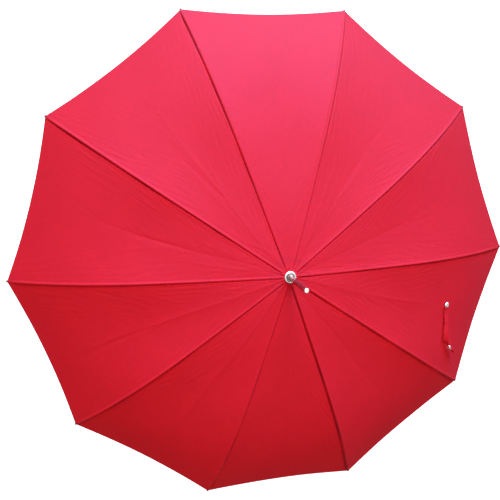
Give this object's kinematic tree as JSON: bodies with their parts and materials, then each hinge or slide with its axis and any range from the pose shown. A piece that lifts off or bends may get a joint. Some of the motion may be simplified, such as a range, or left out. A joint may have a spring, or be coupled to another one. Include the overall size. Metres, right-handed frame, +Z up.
{
  "type": "stick umbrella",
  "caption": "Open stick umbrella: domed cloth canopy on hinged ribs and stretchers, a runner that slides on a steel shaft, a long ferrule, a tie strap and a crook handle.",
  "frame": {"origin": "on the shaft's axis at the middle of the hand grip, where a hand closes around it", "axes": "+Z up the shaft from the grip to the ferrule, +X the way the crook bends"},
  "size_m": [1.0444, 0.9938, 0.8446],
  "materials": {
    "canopy_cloth": "matte",
    "strap_cloth": "matte",
    "polished_steel": "polished",
    "chrome_fittings": "polished",
    "rib_enamel": "satin",
    "spring_steel": "satin",
    "moulded_nylon": "satin",
    "crook_wood": "gloss"
  },
  "bodies": {
    "frame": {"shaft": "polished_steel", "crown": "moulded_nylon", "ferrule_cap": "chrome_fittings", "ferrule_tip": "chrome_fittings", "handle": "crook_wood"},
    "top_catch": {"top_catch": "spring_steel"},
    "bottom_catch": {"bottom_catch": "spring_steel"},
    "runner": {"runner": "moulded_nylon"},
    "rib_inner_01": {"rib_inner_01": "rib_enamel", "canopy_inner_01": "canopy_cloth"},
    "rib_outer_01": {"rib_outer_01": "rib_enamel", "canopy_outer_01": "canopy_cloth"},
    "stretcher_01": {"stretcher_01": "rib_enamel"},
    "rib_inner_02": {"rib_inner_02": "rib_enamel", "canopy_inner_02": "canopy_cloth"},
    "rib_outer_02": {"rib_outer_02": "rib_enamel", "canopy_outer_02": "canopy_cloth"},
    "stretcher_02": {"stretcher_02": "rib_enamel"},
    "rib_inner_03": {"rib_inner_03": "rib_enamel", "canopy_inner_03": "canopy_cloth"},
    "rib_outer_03": {"rib_outer_03": "rib_enamel", "canopy_outer_03": "canopy_cloth"},
    "stretcher_03": {"stretcher_03": "rib_enamel"},
    "rib_inner_04": {"rib_inner_04": "rib_enamel", "canopy_inner_04": "canopy_cloth"},
    "rib_outer_04": {"rib_outer_04": "rib_enamel", "canopy_outer_04": "canopy_cloth"},
    "stretcher_04": {"stretcher_04": "rib_enamel"},
    "rib_inner_05": {"rib_inner_05": "rib_enamel", "canopy_inner_05": "canopy_cloth"},
    "rib_outer_05": {"rib_outer_05": "rib_enamel", "canopy_outer_05": "canopy_cloth"},
    "stretcher_05": {"stretcher_05": "rib_enamel"},
    "rib_inner_06": {"rib_inner_06": "rib_enamel", "canopy_inner_06": "canopy_cloth"},
    "rib_outer_06": {"rib_outer_06": "rib_enamel", "canopy_outer_06": "canopy_cloth"},
    "stretcher_06": {"stretcher_06": "rib_enamel"},
    "rib_inner_07": {"rib_inner_07": "rib_enamel", "canopy_inner_07": "canopy_cloth"},
    "rib_outer_07": {"rib_outer_07": "rib_enamel", "canopy_outer_07": "canopy_cloth"},
    "stretcher_07": {"stretcher_07": "rib_enamel"},
    "rib_inner_08": {"rib_inner_08": "rib_enamel", "canopy_inner_08": "canopy_cloth"},
    "rib_outer_08": {"rib_outer_08": "rib_enamel", "canopy_outer_08": "canopy_cloth"},
    "stretcher_08": {"stretcher_08": "rib_enamel"},
    "rib_inner_09": {"rib_inner_09": "rib_enamel", "canopy_inner_09": "canopy_cloth"},
    "rib_outer_09": {"rib_outer_09": "rib_enamel", "canopy_outer_09": "canopy_cloth"},
    "stretcher_09": {"stretcher_09": "rib_enamel"},
    "rib_inner_10": {"rib_inner_10": "rib_enamel", "canopy_inner_10": "canopy_cloth"},
    "rib_outer_10": {"rib_outer_10": "rib_enamel", "canopy_outer_10": "canopy_cloth"},
    "stretcher_10": {"stretcher_10": "rib_enamel"},
    "strap_snap": {"strap_snap": "chrome_fittings"},
    "tie_strap": {"tie_strap": "strap_cloth"}
  },
  "joints": [
    {"name": "fold", "type": "hinge", "parent": "frame", "child": "rib_inner_01", "pos_m": [0.009, 0, 0.65], "axis": [0, 1, 0], "range_deg": [0, 78], "deforming": ["canopy_inner_01", "canopy_inner_02", "canopy_inner_03", "canopy_inner_04", "canopy_inner_05", "canopy_inner_06", "canopy_inner_07", "canopy_inner_08", "canopy_inner_09", "canopy_inner_10", "canopy_outer_01", "canopy_outer_02", "canopy_outer_03", "canopy_outer_04", "canopy_outer_05", "canopy_outer_06", "canopy_outer_07", "canopy_outer_08", "canopy_outer_09", "canopy_outer_10", "tie_strap"]},
    {"name": "rib_hinge_02", "type": "hinge", "parent": "frame", "child": "rib_inner_02", "pos_m": [0.00728, 0.00529, 0.65], "axis": [-0.5878, 0.809, 0], "range_deg": [-0.5, 78.5]},
    {"name": "rib_hinge_03", "type": "hinge", "parent": "frame", "child": "rib_inner_03", "pos_m": [0.00278, 0.00856, 0.65], "axis": [-0.9511, 0.309, 0], "range_deg": [-0.5, 78.5]},
    {"name": "rib_hinge_04", "type": "hinge", "parent": "frame", "child": "rib_inner_04", "pos_m": [-0.00278, 0.00856, 0.65], "axis": [-0.9511, -0.309, 0], "range_deg": [-0.5, 78.5]},
    {"name": "rib_hinge_05", "type": "hinge", "parent": "frame", "child": "rib_inner_05", "pos_m": [-0.00728, 0.00529, 0.65], "axis": [-0.5878, -0.809, 0], "range_deg": [-0.5, 78.5]},
    {"name": "rib_hinge_06", "type": "hinge", "parent": "frame", "child": "rib_inner_06", "pos_m": [-0.009, 0, 0.65], "axis": [0, -1, 0], "range_deg": [-0.5, 78.5]},
    {"name": "rib_hinge_07", "type": "hinge", "parent": "frame", "child": "rib_inner_07", "pos_m": [-0.00728, -0.00529, 0.65], "axis": [0.5878, -0.809, 0], "range_deg": [-0.5, 78.5]},
    {"name": "rib_hinge_08", "type": "hinge", "parent": "frame", "child": "rib_inner_08", "pos_m": [-0.00278, -0.00856, 0.65], "axis": [0.9511, -0.309, 0], "range_deg": [-0.5, 78.5]},
    {"name": "rib_hinge_09", "type": "hinge", "parent": "frame", "child": "rib_inner_09", "pos_m": [0.00278, -0.00856, 0.65], "axis": [0.9511, 0.309, 0], "range_deg": [-0.5, 78.5]},
    {"name": "rib_hinge_10", "type": "hinge", "parent": "frame", "child": "rib_inner_10", "pos_m": [0.00728, -0.00529, 0.65], "axis": [0.5878, 0.809, 0], "range_deg": [-0.5, 78.5]},
    {"name": "rib_flex_01", "type": "hinge", "parent": "rib_inner_01", "child": "rib_outer_01", "pos_m": [0.24718, 0, 0.6197], "axis": [0, 1, 0], "range_deg": [-14.5, 0.5]},
    {"name": "rib_flex_02", "type": "hinge", "parent": "rib_inner_02", "child": "rib_outer_02", "pos_m": [0.19997, 0.14529, 0.6197], "axis": [-0.5878, 0.809, 0], "range_deg": [-14.5, 0.5]},
    {"name": "rib_flex_03", "type": "hinge", "parent": "rib_inner_03", "child": "rib_outer_03", "pos_m": [0.07638, 0.23508, 0.6197], "axis": [-0.9511, 0.309, 0], "range_deg": [-14.5, 0.5]},
    {"name": "rib_flex_04", "type": "hinge", "parent": "rib_inner_04", "child": "rib_outer_04", "pos_m": [-0.07638, 0.23508, 0.6197], "axis": [-0.9511, -0.309, 0], "range_deg": [-14.5, 0.5]},
    {"name": "rib_flex_05", "type": "hinge", "parent": "rib_inner_05", "child": "rib_outer_05", "pos_m": [-0.19997, 0.14529, 0.6197], "axis": [-0.5878, -0.809, 0], "range_deg": [-14.5, 0.5]},
    {"name": "rib_flex_06", "type": "hinge", "parent": "rib_inner_06", "child": "rib_outer_06", "pos_m": [-0.24718, 0, 0.6197], "axis": [0, -1, 0], "range_deg": [-14.5, 0.5]},
    {"name": "rib_flex_07", "type": "hinge", "parent": "rib_inner_07", "child": "rib_outer_07", "pos_m": [-0.19997, -0.14529, 0.6197], "axis": [0.5878, -0.809, 0], "range_deg": [-14.5, 0.5]},
    {"name": "rib_flex_08", "type": "hinge", "parent": "rib_inner_08", "child": "rib_outer_08", "pos_m": [-0.07638, -0.23508, 0.6197], "axis": [0.9511, -0.309, 0], "range_deg": [-14.5, 0.5]},
    {"name": "rib_flex_09", "type": "hinge", "parent": "rib_inner_09", "child": "rib_outer_09", "pos_m": [0.07638, -0.23508, 0.6197], "axis": [0.9511, 0.309, 0], "range_deg": [-14.5, 0.5]},
    {"name": "rib_flex_10", "type": "hinge", "parent": "rib_inner_10", "child": "rib_outer_10", "pos_m": [0.19997, -0.14529, 0.6197], "axis": [0.5878, 0.809, 0], "range_deg": [-14.5, 0.5]},
    {"name": "stretcher_hinge_01", "type": "hinge", "parent": "rib_inner_01", "child": "stretcher_01", "pos_m": [0.24569, 0, 0.61082], "axis": [0, 1, 0], "range_deg": [-157, 1]},
    {"name": "stretcher_hinge_02", "type": "hinge", "parent": "rib_inner_02", "child": "stretcher_02", "pos_m": [0.19877, 0.14442, 0.61082], "axis": [-0.5878, 0.809, 0], "range_deg": [-157, 1]},
    {"name": "stretcher_hinge_03", "type": "hinge", "parent": "rib_inner_03", "child": "stretcher_03", "pos_m": [0.07592, 0.23367, 0.61082], "axis": [-0.9511, 0.309, 0], "range_deg": [-157, 1]},
    {"name": "stretcher_hinge_04", "type": "hinge", "parent": "rib_inner_04", "child": "stretcher_04", "pos_m": [-0.07592, 0.23367, 0.61082], "axis": [-0.9511, -0.309, 0], "range_deg": [-157, 1]},
    {"name": "stretcher_hinge_05", "type": "hinge", "parent": "rib_inner_05", "child": "stretcher_05", "pos_m": [-0.19877, 0.14442, 0.61082], "axis": [-0.5878, -0.809, 0], "range_deg": [-157, 1]},
    {"name": "stretcher_hinge_06", "type": "hinge", "parent": "rib_inner_06", "child": "stretcher_06", "pos_m": [-0.24569, 0, 0.61082], "axis": [0, -1, 0], "range_deg": [-157, 1]},
    {"name": "stretcher_hinge_07", "type": "hinge", "parent": "rib_inner_07", "child": "stretcher_07", "pos_m": [-0.19877, -0.14442, 0.61082], "axis": [0.5878, -0.809, 0], "range_deg": [-157, 1]},
    {"name": "stretcher_hinge_08", "type": "hinge", "parent": "rib_inner_08", "child": "stretcher_08", "pos_m": [-0.07592, -0.23367, 0.61082], "axis": [0.9511, -0.309, 0], "range_deg": [-157, 1]},
    {"name": "stretcher_hinge_09", "type": "hinge", "parent": "rib_inner_09", "child": "stretcher_09", "pos_m": [0.07592, -0.23367, 0.61082], "axis": [0.9511, 0.309, 0], "range_deg": [-157, 1]},
    {"name": "stretcher_hinge_10", "type": "hinge", "parent": "rib_inner_10", "child": "stretcher_10", "pos_m": [0.19877, -0.14442, 0.61082], "axis": [0.5878, 0.809, 0], "range_deg": [-157, 1]},
    {"name": "runner_hinge", "type": "hinge", "parent": "stretcher_01", "child": "runner", "pos_m": [0.009, 0, 0.57165], "axis": [0, 1, 0], "range_deg": [-0.5, 78.5]},
    {"name": "top_catch_press", "type": "hinge", "parent": "frame", "child": "top_catch", "pos_m": [0.00171, 0.00056, 0.4948], "axis": [0.309, -0.9511, 0], "range_deg": [0, 4], "stiffness_Nm_per_rad": 0.3, "springref_deg": -2.86},
    {"name": "bottom_catch_press", "type": "hinge", "parent": "frame", "child": "bottom_catch", "pos_m": [0.00171, 0.00056, 0.176], "axis": [-0.309, 0.9511, 0], "range_deg": [0, 4], "stiffness_Nm_per_rad": 0.3, "springref_deg": -2.86},
    {"name": "strap_gather", "type": "slide", "parent": "rib_outer_08", "child": "strap_snap", "axis": [0.9511, -0.309, 0], "range_m": [-0.0005, 0.09218]},
    {"name": "strap_swing", "type": "hinge", "parent": "strap_snap", "child": "tie_strap", "pos_m": [-0.20339, -0.30172, 0.58182], "axis": [-0.2427, -0.3248, 0.9141], "range_deg": [-0.5, 90.5]}
  ],
  "couplings": [
    {"joint": "rib_hinge_02", "follows": "fold", "ratio": 1},
    {"joint": "rib_hinge_03", "follows": "fold", "ratio": 1},
    {"joint": "rib_hinge_04", "follows": "fold", "ratio": 1},
    {"joint": "rib_hinge_05", "follows": "fold", "ratio": 1},
    {"joint": "rib_hinge_06", "follows": "fold", "ratio": 1},
    {"joint": "rib_hinge_07", "follows": "fold", "ratio": 1},
    {"joint": "rib_hinge_08", "follows": "fold", "ratio": 1},
    {"joint": "rib_hinge_09", "follows": "fold", "ratio": 1},
    {"joint": "rib_hinge_10", "follows": "fold", "ratio": 1},
    {"joint": "rib_flex_01", "follows": "fold", "ratio": -0.17949},
    {"joint": "rib_flex_02", "follows": "fold", "ratio": -0.17949},
    {"joint": "rib_flex_03", "follows": "fold", "ratio": -0.17949},
    {"joint": "rib_flex_04", "follows": "fold", "ratio": -0.17949},
    {"joint": "rib_flex_05", "follows": "fold", "ratio": -0.17949},
    {"joint": "rib_flex_06", "follows": "fold", "ratio": -0.17949},
    {"joint": "rib_flex_07", "follows": "fold", "ratio": -0.17949},
    {"joint": "rib_flex_08", "follows": "fold", "ratio": -0.17949},
    {"joint": "rib_flex_09", "follows": "fold", "ratio": -0.17949},
    {"joint": "rib_flex_10", "follows": "fold", "ratio": -0.17949},
    {"joint": "stretcher_hinge_01", "follows": "fold", "ratio": -2},
    {"joint": "stretcher_hinge_02", "follows": "fold", "ratio": -2},
    {"joint": "stretcher_hinge_03", "follows": "fold", "ratio": -2},
    {"joint": "stretcher_hinge_04", "follows": "fold", "ratio": -2},
    {"joint": "stretcher_hinge_05", "follows": "fold", "ratio": -2},
    {"joint": "stretcher_hinge_06", "follows": "fold", "ratio": -2},
    {"joint": "stretcher_hinge_07", "follows": "fold", "ratio": -2},
    {"joint": "stretcher_hinge_08", "follows": "fold", "ratio": -2},
    {"joint": "stretcher_hinge_09", "follows": "fold", "ratio": -2},
    {"joint": "stretcher_hinge_10", "follows": "fold", "ratio": -2},
    {"joint": "runner_hinge", "follows": "fold", "ratio": 1},
    {"joint": "strap_gather", "follows": "fold", "m_per_rad": 0.067347},
    {"joint": "strap_swing", "follows": "fold", "ratio": 1.1538}
  ]
}
